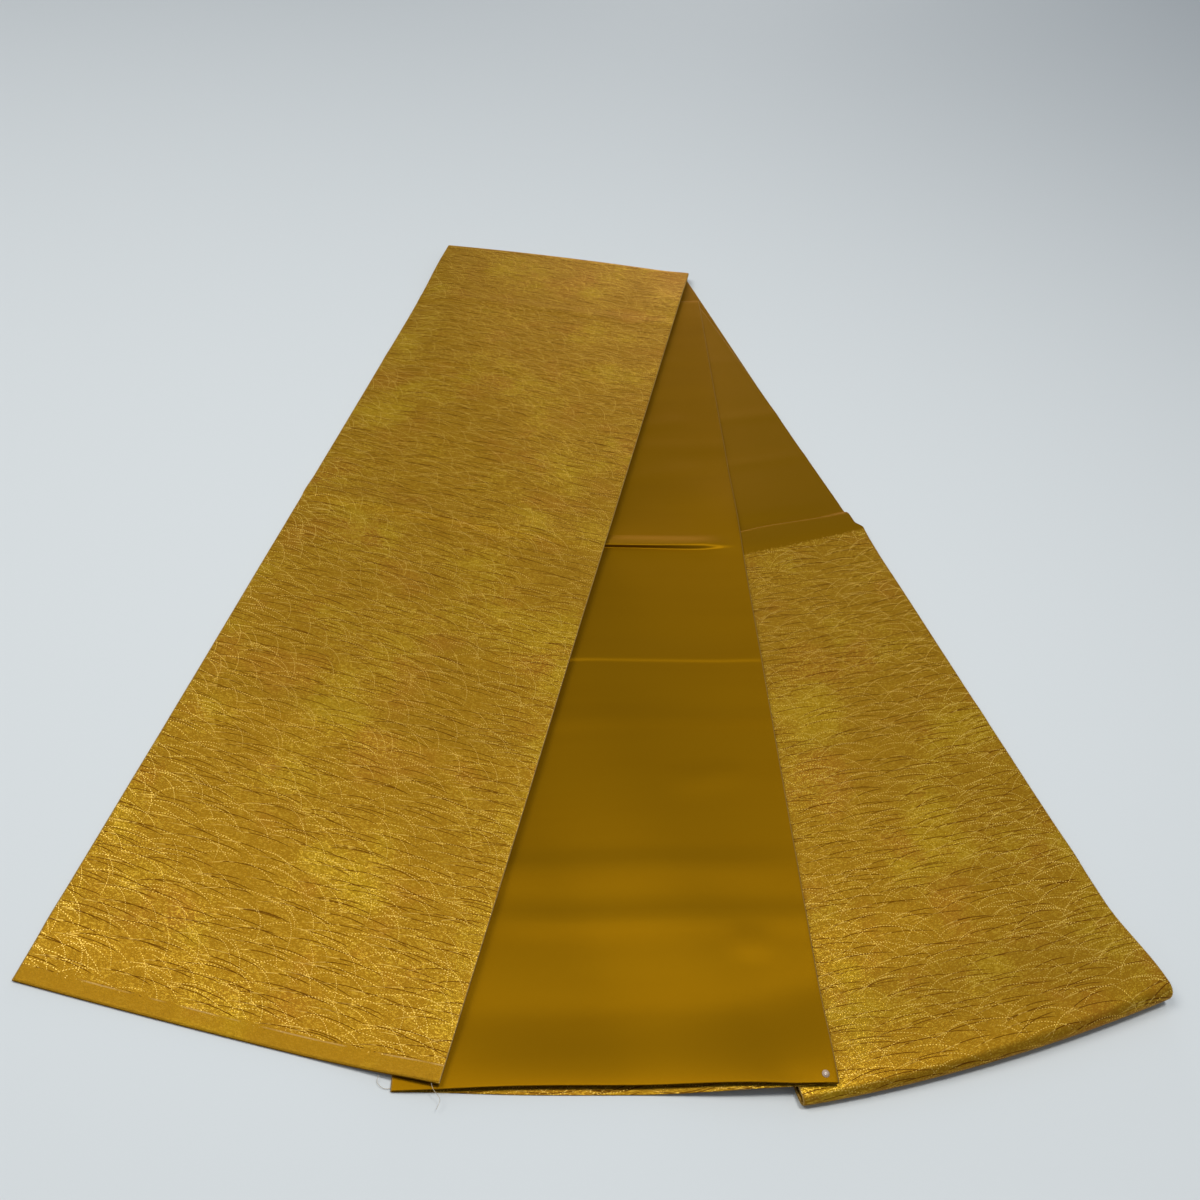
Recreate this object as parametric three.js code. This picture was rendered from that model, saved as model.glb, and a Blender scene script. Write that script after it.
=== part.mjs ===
// A lined obi sash, folded in four and laid out flat in a fan.
//
// The sash is one long tube of two cloths, a figured front cloth and a plain back cloth,
// sewn together along both long edges. From its wide end (the tare) it runs away on top of
// the stack, turns under at the outer fold, comes back along the table, rolls over at the
// near roll, runs away again, turns up at the inner fold and comes back to its other end
// (the te). Each stretch and each fold has one wall of front cloth and one of back cloth.
//
// Millimetres, +Z up. +X is to the right and +Y points away, along the te stretch. The
// origin is on the table under the middle of the laid sash.
import * as THREE from "three";

const { clamp, lerp, smoothstep } = THREE.MathUtils;

// Cloth
const WALL = 1.2; // one cloth with its share of the stiffening
const SEAM = 0.3; // between the two cloths, and between neighbouring pieces
const PANEL = 2 * WALL + SEAM;
const LAYER = PANEL + SEAM; // from one layer of the stack to the next

// The ends and folds that cross the sash, each from its left to its right selvage. A bow
// brings the middle of the line this much nearer than its ends.
const LINES = {
  tareEnd: { leftX: -312, leftY: 361, rightX: -11, rightY: 288, bow: 1.5 },
  outerFold: { leftX: -67, leftY: 1400, rightX: 262, rightY: 1374, bow: -5 },
  nearRoll: { leftX: 240, leftY: 281, rightX: 543, rightY: 364, bow: 7 },
  innerFold: { leftX: -42, leftY: 1262, rightX: 270, rightY: 1310, bow: 0 },
  teEnd: { leftX: -44, leftY: 286, rightX: 266, rightY: 287, bow: 0 },
};

// The four stretches, each between two of those lines. The sash may bend on its way: bend
// says how far along, and swing how far it is carried to the right there.
const STRETCHES = {
  tare: { near: "tareEnd", far: "outerFold", bend: 0.5, swing: 0 },
  under: { near: "nearRoll", far: "outerFold", bend: 0.5, swing: 0 },
  middle: { near: "nearRoll", far: "innerFold", bend: 0.57, swing: 15 },
  te: { near: "teEnd", far: "innerFold", bend: 0.5, swing: 0 },
};

// Each crease crosses the sash where it was folded for storage: left and right say how far
// along each selvage, rise how high it stands, reach its half width.
const CREASES = {
  tare: { left: 0.51, right: 0.487, rise: 1.5, reach: 26 },
  middle: { left: 0.53, right: 0.572, rise: 4, reach: 22 },
  te: { left: 0.547, right: 0.537, rise: 2.5, reach: 16 },
};
const COLUMNS = 8; // across a stretch
const ROWS = 19; // along a stretch, besides the rows that shape its crease
const FOLD_STEPS = 6; // round a fold

// How the upper stretches come down to the table beside what they lie on.
const HOLD = 40; // how far out from the edge beneath the full height is kept
const MIDDLE_RAMP = 100; // the te stretch beside the middle stretch
const TE_RAMP = 80; // the tare stretch beside the te stretch
const SPREAD = 38; // how far round a point the layer beneath is felt

// The near roll is looser towards its right end, and the open right edges stand proud.
const ROLL_RISE = { left: 2.5, right: 9.5, reach: 110 };
const EDGE_LIFT = { tare: 4, te: 1.5, reach: 55 };

// The stud that closes the te end, a small round cap on the back cloth.
const STUD = { radius: 3, height: 1.6, x: 257, y: 293 };

const FRONT = { color: 0x9b771d, roughness: 0.42, metalness: 0.35 };
const BACK = { color: 0x80580a, roughness: 0.38, metalness: 0.1 };
const PEARL = { color: 0xcdbd9c, roughness: 0.2, metalness: 0.1 };

// A point of a line across the sash, u from 0 at its left end to 1 at its right end.
function across(line, u) {
  const { leftX, leftY, rightX, rightY, bow } = LINES[line];
  const out = bow * 4 * u * (1 - u);
  return { x: lerp(leftX, rightX, u), y: lerp(leftY, rightY, u) - out };
}

// A point of a stretch in plan, v from 0 at its near end to 1 at its far end.
function along(stretch, u, v) {
  const near = across(STRETCHES[stretch].near, u);
  const far = across(STRETCHES[stretch].far, u);
  const { bend, swing } = STRETCHES[stretch];
  const swung = swing * Math.min(v / bend, (1 - v) / (1 - bend));
  return { x: lerp(near.x, far.x, v) + swung, y: lerp(near.y, far.y, v) };
}

// How far a point lies to the left of the line from a to b, seen looking along it.
function leftOf(a, b, x, y) {
  const length = Math.hypot(b.x - a.x, b.y - a.y);
  return ((b.x - a.x) * (y - a.y) - (b.y - a.y) * (x - a.x)) / length;
}

function outsideLeft(stretch, x, y) {
  return leftOf(along(stretch, 0, 0), along(stretch, 0, 1), x, y);
}

function insideRight(stretch, x, y) {
  return leftOf(along(stretch, 1, 0), along(stretch, 1, 1), x, y);
}

// The height that a stretch's crease adds at a point.
function creaseRise(stretch, x, y) {
  const { left, right, rise, reach } = CREASES[stretch];
  const distance = leftOf(along(stretch, 0, left), along(stretch, 1, right), x, y);
  return rise * (1 - smoothstep(Math.abs(distance), 0, reach));
}

// The highest that a layer stands anywhere near a point.
function highest(height, x, y) {
  const steps = [-1, -0.5, 0, 0.5, 1].map((k) => k * SPREAD);
  return Math.max(...steps.flatMap((dx) => steps.map((dy) => height(x + dx, y + dy))));
}

// The underside of each stretch over the table.
const HEIGHT = {
  under: () => 0,
  middle(x, y) {
    const left = across("nearRoll", 0);
    const right = across("nearRoll", 1);
    const inside = leftOf(left, right, x, y);
    const width = Math.hypot(right.x - left.x, right.y - left.y);
    const share = clamp(Math.hypot(x - left.x, y - left.y) / width, 0, 1);
    const rise = lerp(ROLL_RISE.left, ROLL_RISE.right, share);
    return LAYER + rise * (1 - smoothstep(inside, 0, ROLL_RISE.reach)) + creaseRise("middle", x, y);
  },
  te(x, y) {
    const beside = outsideLeft("middle", x, y);
    const carried = highest(HEIGHT.middle, x, y) + LAYER;
    const settled = carried * (1 - smoothstep(beside, HOLD, HOLD + MIDDLE_RAMP));
    const lift = EDGE_LIFT.te * (1 - smoothstep(insideRight("te", x, y), 0, EDGE_LIFT.reach));
    return settled + lift + creaseRise("te", x, y);
  },
  tare(x, y) {
    const beside = outsideLeft("te", x, y);
    const carried = highest(HEIGHT.te, Math.max(x, across("teEnd", 0).x), y) + LAYER;
    const settled = carried * (1 - smoothstep(beside, HOLD, HOLD + TE_RAMP));
    const lift = EDGE_LIFT.tare * (1 - smoothstep(insideRight("tare", x, y), 0, EDGE_LIFT.reach));
    return settled + lift + creaseRise("tare", x, y);
  },
};

// A closed wall between two grids of points, inner and outer, which turn anticlockwise
// from column to row when seen from outside.
function wall(name, finish, columns, rows, inner, outer) {
  const positions = [];
  const faces = [];
  const at = (side, i, j) => (side * (rows + 1) + j) * (columns + 1) + i;
  for (const side of [inner, outer]) {
    for (let j = 0; j <= rows; j++) {
      for (let i = 0; i <= columns; i++) positions.push(...side(i / columns, j));
    }
  }
  const quad = (a, b, c, d) => faces.push(a, b, c, a, c, d);
  for (let j = 0; j < rows; j++) {
    for (let i = 0; i < columns; i++) {
      quad(at(1, i, j), at(1, i + 1, j), at(1, i + 1, j + 1), at(1, i, j + 1));
      quad(at(0, i, j), at(0, i, j + 1), at(0, i + 1, j + 1), at(0, i + 1, j));
    }
    quad(at(0, 0, j), at(1, 0, j), at(1, 0, j + 1), at(0, 0, j + 1));
    quad(at(1, columns, j), at(0, columns, j), at(0, columns, j + 1), at(1, columns, j + 1));
  }
  for (let i = 0; i < columns; i++) {
    quad(at(1, i, 0), at(0, i, 0), at(0, i + 1, 0), at(1, i + 1, 0));
    quad(at(0, i, rows), at(1, i, rows), at(1, i + 1, rows), at(0, i + 1, rows));
  }
  const geometry = new THREE.BufferGeometry();
  geometry.setAttribute("position", new THREE.Float32BufferAttribute(positions, 3));
  geometry.setIndex(faces);
  geometry.computeVertexNormals();
  const mesh = new THREE.Mesh(geometry, new THREE.MeshStandardMaterial(finish));
  mesh.name = name;
  return mesh;
}

// The rows of a stretch, as shares of its left and right selvage: even ones, and five
// that shape its crease.
function rowsOf(stretch) {
  const crease = CREASES[stretch];
  const even = Array.from({ length: ROWS + 1 }, (_, j) => ({ left: j / ROWS, right: j / ROWS }));
  if (!crease) return even;
  const start = along(stretch, 0.5, 0);
  const end = along(stretch, 0.5, 1);
  const reach = crease.reach / Math.hypot(end.x - start.x, end.y - start.y);
  const shaped = [-1, -0.5, 0, 0.5, 1].map((k) => ({
    left: crease.left + k * reach,
    right: crease.right + k * reach,
  }));
  const clear = even.filter(({ left }) =>
    left < Math.min(crease.left, crease.right) - 1.5 * reach ||
    left > Math.max(crease.left, crease.right) + 1.5 * reach);
  return [...clear, ...shaped].sort((a, b) => a.left + a.right - b.left - b.right);
}

// One cloth of a stretch, its lower face this far above the stretch's underside.
function stretchWall(name, finish, stretch, above) {
  const rows = rowsOf(stretch);
  const face = (raised) => (u, j) => {
    const { x, y } = along(stretch, u, lerp(rows[j].left, rows[j].right, u));
    return [x, y, HEIGHT[stretch](x, y) + raised];
  };
  return wall(name, finish, COLUMNS, rows.length - 1, face(above), face(above + WALL));
}

// One cloth round a fold, this far in from the fold's outer face. The fold joins the
// underside of a lower stretch to the top of an upper one, and bulges to the far side of
// its line or to the near side.
function foldWall(name, finish, line, lower, upper, isFar, inset) {
  const left = across(line, 0);
  const right = across(line, 1);
  const length = Math.hypot(right.x - left.x, right.y - left.y);
  const side = isFar ? 1 : -1;
  const out = { x: (-side * (right.y - left.y)) / length, y: (side * (right.x - left.x)) / length };
  const face = (depth) => (share, j) => {
    const { x, y } = across(line, isFar ? 1 - share : share);
    const bottom = HEIGHT[lower](x, y);
    const top = HEIGHT[upper](x, y) + PANEL;
    const radius = (top - bottom) / 2 - depth;
    const angle = lerp(-Math.PI / 2, Math.PI / 2, j / FOLD_STEPS);
    const reach = SEAM + radius * Math.cos(angle);
    return [x + out.x * reach, y + out.y * reach, (bottom + top) / 2 + radius * Math.sin(angle)];
  };
  return wall(name, finish, COLUMNS, FOLD_STEPS, face(inset + WALL), face(inset));
}

// The stud is a low dome with a flat base, turned about its own upright axis.
function studMesh() {
  const { radius, height, x, y } = STUD;
  const arc = Array.from({ length: 5 }, (_, k) => {
    const angle = (k / 4) * (Math.PI / 2);
    return new THREE.Vector2(k === 4 ? 0 : radius * Math.cos(angle), height * Math.sin(angle));
  });
  const profile = [new THREE.Vector2(0, 0), ...arc];
  const mesh = new THREE.Mesh(new THREE.LatheGeometry(profile, 16), new THREE.MeshStandardMaterial(PEARL));
  mesh.name = "te_stud";
  mesh.rotation.x = Math.PI / 2;
  mesh.position.set(x, y, HEIGHT.te(x, y) + LAYER + SEAM);
  return mesh;
}

const INNER = WALL + SEAM;
const sash = new THREE.Group();
sash.add(
  stretchWall("tare_back_cloth", BACK, "tare", 0),
  stretchWall("tare_front_cloth", FRONT, "tare", INNER),
  foldWall("outer_fold_front_cloth", FRONT, "outerFold", "under", "tare", true, 0),
  foldWall("outer_fold_back_cloth", BACK, "outerFold", "under", "tare", true, INNER),
  stretchWall("under_front_cloth", FRONT, "under", 0),
  stretchWall("under_back_cloth", BACK, "under", INNER),
  foldWall("near_roll_front_cloth", FRONT, "nearRoll", "under", "middle", false, 0),
  foldWall("near_roll_back_cloth", BACK, "nearRoll", "under", "middle", false, INNER),
  stretchWall("middle_back_cloth", BACK, "middle", 0),
  stretchWall("middle_front_cloth", FRONT, "middle", INNER),
  foldWall("inner_fold_back_cloth", BACK, "innerFold", "middle", "te", true, 0),
  foldWall("inner_fold_front_cloth", FRONT, "innerFold", "middle", "te", true, INNER),
  stretchWall("te_front_cloth", FRONT, "te", 0),
  stretchWall("te_back_cloth", BACK, "te", INNER),
  studMesh(),
);

// The origin goes under the middle of the sash, on the table.
const extent = new THREE.Box3().setFromObject(sash);
const middle = extent.getCenter(new THREE.Vector3());
sash.position.set(-middle.x, -middle.y, -extent.min.z);

const obi = new THREE.Group();
obi.add(sash);

export default obi;
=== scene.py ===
# %% [markdown]
# # A lined obi, folded in four and laid out as a fan
#
# An obi is the long stiff sash of a kimono. This one is a tube of two cloths, a figured gold
# brocade in front and a plain satin behind. It has been folded in four and laid on a table
# so that its stretches fan out. The measured frame gives where each stretch lies, and this
# lesson gives the cloths their drape, weave and sheen.

# %% Load the frame
import math

import bmesh
import bpy
import numpy as np
from mathutils import Matrix, Vector
from mathutils.bvhtree import BVHTree


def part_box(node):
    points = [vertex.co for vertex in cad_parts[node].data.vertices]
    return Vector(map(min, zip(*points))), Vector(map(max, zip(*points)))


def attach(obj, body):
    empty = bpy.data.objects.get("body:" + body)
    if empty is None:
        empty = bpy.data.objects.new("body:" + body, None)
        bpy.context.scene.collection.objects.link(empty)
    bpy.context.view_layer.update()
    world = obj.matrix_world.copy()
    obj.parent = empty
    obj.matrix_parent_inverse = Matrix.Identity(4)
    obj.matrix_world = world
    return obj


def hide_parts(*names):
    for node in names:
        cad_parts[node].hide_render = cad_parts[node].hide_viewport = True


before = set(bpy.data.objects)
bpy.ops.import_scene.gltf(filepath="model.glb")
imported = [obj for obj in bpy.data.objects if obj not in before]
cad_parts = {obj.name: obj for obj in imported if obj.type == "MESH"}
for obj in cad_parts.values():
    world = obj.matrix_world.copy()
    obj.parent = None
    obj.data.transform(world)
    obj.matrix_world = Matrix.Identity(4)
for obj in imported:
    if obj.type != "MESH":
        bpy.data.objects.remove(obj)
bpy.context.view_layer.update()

print("nodes in the frame:", sorted(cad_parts))

# %% [markdown]
# ## Camera
# The sash lies well below eye level, so the camera looks down at it. Its place could be set
# by hand in the viewport, but three angles say it better: a heading, a pitch down and a
# small roll, as when someone leans over a table. The three turns are multiplied in order.

# %% Camera
CAMERA_PLACE = Vector((-0.1165, -0.8414, 0.790))
CAMERA_HEADING = math.radians(8.79)
CAMERA_PITCH_DOWN = math.radians(45.8)
CAMERA_ROLL = math.radians(9.18)
LENS_MM = 33.5

camera_data = bpy.data.cameras.new("camera")
camera_data.lens = LENS_MM
camera_data.sensor_width = 36.0
camera_data.clip_start = 0.01
camera = bpy.data.objects.new("camera", camera_data)
bpy.context.scene.collection.objects.link(camera)
turn = Matrix.Rotation(-CAMERA_HEADING, 4, "Z")
turn @= Matrix.Rotation(math.pi / 2 - CAMERA_PITCH_DOWN, 4, "X")
turn @= Matrix.Rotation(CAMERA_ROLL, 4, "Z")
camera.matrix_world = Matrix.Translation(CAMERA_PLACE) @ turn
bpy.context.scene.camera = camera
print("camera at", tuple(camera.location))

# %% [markdown] ## Floor The sash lies on a plain pale sheet. One square from bmesh is enough for
# it, a hair below the cloth and wide enough that its edge stays outside the camera's view.

# %% Floor
FLOOR_SIZE = 14.0
FLOOR_DROP = 0.0002
FLOOR_COLOUR = (0.655, 0.69, 0.70, 1.0)


def new_material(name):
    material = bpy.data.materials.new(name)
    material.use_nodes = True
    return material, material.node_tree.nodes


def to_object(name, shape):
    mesh = bpy.data.meshes.new(name)
    shape.to_mesh(mesh)
    shape.free()
    made = bpy.data.objects.new(name, mesh)
    bpy.context.scene.collection.objects.link(made)
    return made


floor_bm = bmesh.new()
bmesh.ops.create_grid(floor_bm, x_segments=1, y_segments=1, size=FLOOR_SIZE / 2)
bmesh.ops.translate(floor_bm, verts=floor_bm.verts, vec=(0, 0, -FLOOR_DROP))
floor = to_object("floor", floor_bm)
floor_material, nodes = new_material("floor_paper")
floor_shader = nodes["Principled BSDF"]
floor_shader.inputs["Base Color"].default_value = FLOOR_COLOUR
floor_shader.inputs["Roughness"].default_value = 0.75
floor_shader.inputs["Specular IOR Level"].default_value = 0.2
floor.data.materials.append(floor_material)
print("floor is", FLOOR_SIZE, "m wide")

# %% [markdown]
# ## Light
# The room is bright and soft. A large lamp high on the left does most of the work, a low one
# beyond the sash gives the satin its sheen, and a small one above the near roll makes the woven
# gold glint. The world fills the shadows. A Map Range on its direction makes the far side of
# the room brighter than the near side, as when a window lies beyond the table.

# %% Light
LAMPS = [
    ("key", (-1.6, 0.1, 2.7), (0.0, 0.0, 0.0), 1.6, 43, (1.0, 0.985, 0.955)),
    ("far_low", (0.5, 3.2, 0.55), (0.0, 0.0, 0.0), 1.0, 9, (1.0, 0.985, 0.96)),
    ("roll_glint", (0.42, -0.22, 2.2), (0.3, -0.4, 0.0), 0.40, 22, (1.0, 0.985, 0.96)),
]
ROOM_COLOUR = (0.80, 0.88, 1.0, 1.0)
NEAR_WAY, FAR_WAY = -0.9, 0.7
NEAR_ROOM, FAR_ROOM = 0.12, 0.46


def soft_lamp(name, place, target, size, power, colour):
    lamp = bpy.data.lights.new(name, "AREA")
    lamp.shape = "DISK"
    lamp.size = size
    lamp.energy = power
    lamp.color = colour
    lamp_object = bpy.data.objects.new(name, lamp)
    aim = (Vector(target) - Vector(place)).to_track_quat("-Z", "Y")
    lamp_object.matrix_world = Matrix.Translation(place) @ aim.to_matrix().to_4x4()
    bpy.context.scene.collection.objects.link(lamp_object)


for lamp_row in LAMPS:
    soft_lamp(*lamp_row)
world = bpy.data.worlds.new("room")
bpy.context.scene.world = world
world.use_nodes = True
world_nodes = world.node_tree.nodes
world_links = world.node_tree.links
world_nodes["Background"].inputs["Color"].default_value = ROOM_COLOUR
world_way = world_nodes.new("ShaderNodeTexCoord")
world_split = world_nodes.new("ShaderNodeSeparateXYZ")
world_ramp = world_nodes.new("ShaderNodeMapRange")
for socket, value in zip(world_ramp.inputs[1:5], (NEAR_WAY, FAR_WAY, NEAR_ROOM, FAR_ROOM)):
    socket.default_value = value
world_links.new(world_way.outputs["Generated"], world_split.inputs[0])
world_links.new(world_split.outputs["Y"], world_ramp.inputs[0])
world_links.new(world_ramp.outputs[0], world_nodes["Background"].inputs["Strength"])
bpy.context.scene.view_settings.view_transform = "Standard"

# %% [markdown]
# ## Where the sash runs
# The sash has four stretches with a fold between each two. A stretch is a long quadrilateral
# seen from above, so four corners say where it lies. The corners are read off the frame's
# solids: the corner furthest in each diagonal direction.

# %% Corners of the stretches
CORNER_WAYS = {
    "near_left": (-1, -1),
    "near_right": (1, -1),
    "far_left": (-1, 1),
    "far_right": (1, 1),
}
STRETCH_NODES = {
    "tare": "tare_front_cloth",
    "under": "under_front_cloth",
    "middle": "middle_front_cloth",
    "te": "te_front_cloth",
}


def corners_of(node):
    places = np.array([v.co[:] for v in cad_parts[node].data.vertices])
    found = {}
    for name, (way_x, way_y) in CORNER_WAYS.items():
        found[name] = places[np.argmax(way_x * places[:, 0] + way_y * places[:, 1])][:2]
    return found


corners = {stretch: corners_of(node) for stretch, node in STRETCH_NODES.items()}
for stretch, found in corners.items():
    print(stretch, {name: np.round(place, 3).tolist() for name, place in found.items()})

# %% [markdown]
# ## The plan of a stretch
# Any point of a stretch is found from two shares: u across it, from its left selvage to its
# right, and v along it, from its near end to its far end. Three small touches make the
# plan real: an end line may bow, the middle stretch bends where it is tucked, and the
# rows slant so that a crease lies square to the selvages around it.

# %% Plan
LINE_BOWS = {
    "tare": (0.0015, -0.005),
    "under": (0.007, -0.005),
    "middle": (0.007, 0.0),
    "te": (0.0, 0.0),
}
ROW_SLANTS = {
    "tare": (0.50, -0.023),
    "under": (0.5, 0.0),
    "middle": (0.55, 0.042),
    "te": (0.542, -0.010),
}
TUCK_SWING = 0.015
TUCK_JOG = 0.007
TUCK_JOG_REACH = 0.008
TUCK_JOG_FADE = 1.3


def tent(v, peak):
    return np.minimum(v / peak, (1 - v) / (1 - peak))


def smooth(value):
    t = np.clip(value, 0.0, 1.0)
    return t * t * (3 - 2 * t)


def plan(stretch, u, v):
    peak, slant = ROW_SLANTS[stretch]
    v = v + slant * tent(v, peak) * (u - 0.5)
    found = corners[stretch]
    near_bow, far_bow = LINE_BOWS[stretch]
    belly = 4 * u * (1 - u)
    near = [found["near_left"][k] * (1 - u) + found["near_right"][k] * u for k in (0, 1)]
    far = [found["far_left"][k] * (1 - u) + found["far_right"][k] * u for k in (0, 1)]
    x = near[0] * (1 - v) + far[0] * v
    y = (near[1] - near_bow * belly) * (1 - v) + (far[1] - far_bow * belly) * v
    if stretch == "middle":
        x = x + TUCK_SWING * tent(v, peak)
        jog = smooth((v - peak + TUCK_JOG_REACH / 2) / TUCK_JOG_REACH)
        beyond = (v - peak) / (1 - peak)
        x = x - TUCK_JOG * jog * (1 - smooth(beyond * TUCK_JOG_FADE))
    return x, y


def stretch_length(stretch):
    x, y = plan(stretch, 0.5, np.array([0.0, 1.0]))
    return float(np.hypot(x[1] - x[0], y[1] - y[0]))


LENGTHS = {stretch: stretch_length(stretch) for stretch in STRETCH_NODES}
print("lengths:", {stretch: round(length, 3) for stretch, length in LENGTHS.items()})

# %% [markdown]
# ## Creases
# A stored obi keeps the creases of its folded parcel, and more come from being handled. A
# simulation would give soft random ones, but these are few and sharp, so each is placed one
# by one. Every row of the table is one crease: where it crosses, how high it stands, how far
# its slopes reach on the near and far side, and between which shares of the width it lives.

# %% Crease table
CREASE_COLUMNS = ("stretch", "v", "rise", "near", "far", "from_u", "to_u", "fade")
CREASE_ROWS = [
    ("te", 0.542, 0.0042, 0.0042, 0.018, 0.42, 0.96, 0.11),
    ("te", 0.390, 0.0007, 0.005, 0.030, -0.10, 1.15, 0.25),
    ("te", 0.318, 0.0005, 0.012, 0.020, 0.20, 1.20, 0.25),
    ("te", 0.175, 0.0008, 0.030, 0.016, -0.20, 1.10, 0.25),
    ("te", 0.130, 0.0006, 0.022, 0.012, 0.10, 1.20, 0.25),
    ("te", 0.700, 0.0005, 0.018, 0.018, 0.30, 1.20, 0.25),
    ("middle", 0.660, 0.0005, 0.016, 0.010, -0.20, 1.20, 0.25),
    ("middle", 0.740, 0.0006, 0.010, 0.022, -0.20, 1.20, 0.25),
    ("middle", 0.860, 0.0004, 0.015, 0.015, -0.20, 1.10, 0.25),
    ("middle", 0.275, 0.0006, 0.020, 0.020, -0.20, 1.20, 0.25),
    ("middle", 0.120, 0.0009, 0.020, 0.035, -0.20, 1.20, 0.25),
    ("tare", 0.500, 0.0017, 0.010, 0.030, -0.30, 1.30, 0.25),
    ("tare", 0.745, 0.0008, 0.012, 0.030, -0.30, 0.80, 0.25),
    ("tare", 0.250, 0.0006, 0.020, 0.030, 0.00, 1.30, 0.25),
    ("tare", 0.880, 0.0006, 0.020, 0.012, -0.30, 1.30, 0.25),
    ("tare", 0.045, 0.0008, 0.020, 0.030, -0.30, 0.60, 0.25),
    ("under", 0.500, 0.0004, 0.010, 0.020, -0.30, 1.30, 0.25),
]
CREASES = [dict(zip(CREASE_COLUMNS, row)) for row in CREASE_ROWS]


def crease_height(stretch, u, v):
    height = np.zeros_like(u * v)
    for crease in CREASES:
        if crease["stretch"] != stretch:
            continue
        distance = (v - crease["v"]) * LENGTHS[stretch]
        near_slope = smooth(1 + distance / crease["near"])
        far_slope = smooth(1 - distance / crease["far"])
        profile = np.where(distance < 0, near_slope, far_slope)
        begun = smooth((u - crease["from_u"]) / crease["fade"])
        alive = begun * smooth((crease["to_u"] - u) / crease["fade"])
        height = height + crease["rise"] * profile * alive
    return height


print(len(CREASES), "creases placed")

# %% [markdown]
# ## How high each stretch lies
# The stretches lie on each other like cards. Each one rests a layer above the one beneath it,
# and where that one ends it comes down to the table in a soft slope. The open right edges
# stand a little proud, because brocade is stiff, and the near roll is loose, so the middle
# stretch climbs onto it.

# %% Heights
PANEL = 0.0027
LAYER = 0.0030
ROLL_RISE = (0.0045, 0.0130)
ROLL_REACH = 0.078
TUCK_RISE = 0.0062
TUCK_SHARE = 0.55
TE_OVER_TUCK = 0.0040
TE_OVER_REACH = 0.075
TUCK_Y = 0.038
TUCK_SPREAD = 0.055
FAR_FOLD_Y = 0.44
FAR_FOLD_REACH = 0.10
MIDDLE_SETTLE = (0.014, 0.105)
TE_SETTLE = (0.008, 0.062)
EDGE_LIFTS = {"te": (0.0022, 0.050), "tare": (0.0055, 0.060)}


def left_of(stretch, side_u, x, y):
    ax, ay = plan(stretch, side_u, 0.0)
    bx, by = plan(stretch, side_u, 1.0)
    run = math.hypot(bx - ax, by - ay)
    return ((bx - ax) * (y - ay) - (by - ay) * (x - ax)) / run


def from_near_line(stretch, x, y):
    ax, ay = plan(stretch, 0.0, 0.0)
    bx, by = plan(stretch, 1.0, 0.0)
    run = math.hypot(bx - ax, by - ay)
    inside = ((bx - ax) * (y - ay) - (by - ay) * (x - ax)) / run
    share = np.clip(((bx - ax) * (x - ax) + (by - ay) * (y - ay)) / run**2, 0, 1)
    return inside, share


def edge_lift(stretch, x, y):
    lift, reach = EDGE_LIFTS[stretch]
    return lift * (1 - smooth(left_of(stretch, 1.0, x, y) / reach))


def middle_height(x, y):
    inside, share = from_near_line("middle", x, y)
    rise = ROLL_RISE[0] + (ROLL_RISE[1] - ROLL_RISE[0]) * np.sqrt(share)
    return LAYER + rise * (1 - smooth(inside / ROLL_REACH))


def te_height(x, y):
    beside = left_of("middle", 0.0, x, y)
    hold, ramp = MIDDLE_SETTLE
    over = (y - TUCK_Y) / TUCK_SPREAD
    near_edge = smooth(1 - left_of("te", 1.0, x, y) / TE_OVER_REACH)
    over_tuck = TE_OVER_TUCK * np.exp(-over**2) * near_edge
    carried = middle_height(x, y) + LAYER + over_tuck
    return carried * (1 - smooth((beside - hold) / ramp)) + edge_lift("te", x, y)


def tare_height(x, y):
    edge = plan("te", 0.0, 0.0)[0]
    beside = left_of("te", 0.0, x, y)
    hold, ramp = TE_SETTLE
    carried = te_height(np.maximum(x, edge), y) + LAYER
    fold_share = smooth((y - FAR_FOLD_Y) / FAR_FOLD_REACH)
    settled = carried * (1 - smooth((beside - hold) / ramp))
    settled = settled * (1 - fold_share) + np.maximum(settled, 3 * LAYER) * fold_share
    return settled + edge_lift("tare", x, y) * (1 - fold_share)


HEIGHTS = {
    "tare": tare_height,
    "under": lambda x, y: np.zeros_like(x),
    "middle": middle_height,
    "te": te_height,
}
tare_middle = float(tare_height(np.array(-0.02), np.array(0.0)))
print("middle of the tare lies", round(tare_middle * 1000, 1), "mm up")

# %% [markdown]
# ## The tuck and the ridge
# Where the figured part of the middle stretch ends, the sash is caught in a small tuck: a
# rounded lip that hangs over the plain part beyond it. A height alone can't hang over, so
# this effect also moves the cloth along its own length, out over the lip and back under it.
# The crease across the te is as sharp, and leans back over itself in the same way. Both begin
# and thin out at some share of the width, so they die away before the selvage.

# %% Tuck
TUCK_BACK = 0.0085
TUCK_HALF = 0.0060
TUCK_SLOPE = 0.034
TUCK_BEHIND = 0.040
TUCK_LEAN = math.radians(16)
TUCK_BEGINS = (0.36, 0.20)
TUCK_THINS = (0.60, 0.40, 0.85)
VALLEY_RISE = 0.0026
VALLEY_REACH = 0.022
VALLEY_START = 0.030
VALLEY_END = 0.120
VALLEY_THINS = (0.65, 0.35, 0.8)
RIDGE_SHARE = 0.542
RIDGE_BACK = 0.0034
RIDGE_HALF = 0.0032
RIDGE_BEGINS = (0.42, 0.11)
RIDGE_ENDS = (0.92, 0.30)


def thinning(u, first, reach, most):
    return 1 - most * smooth((u - first) / reach)


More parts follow.
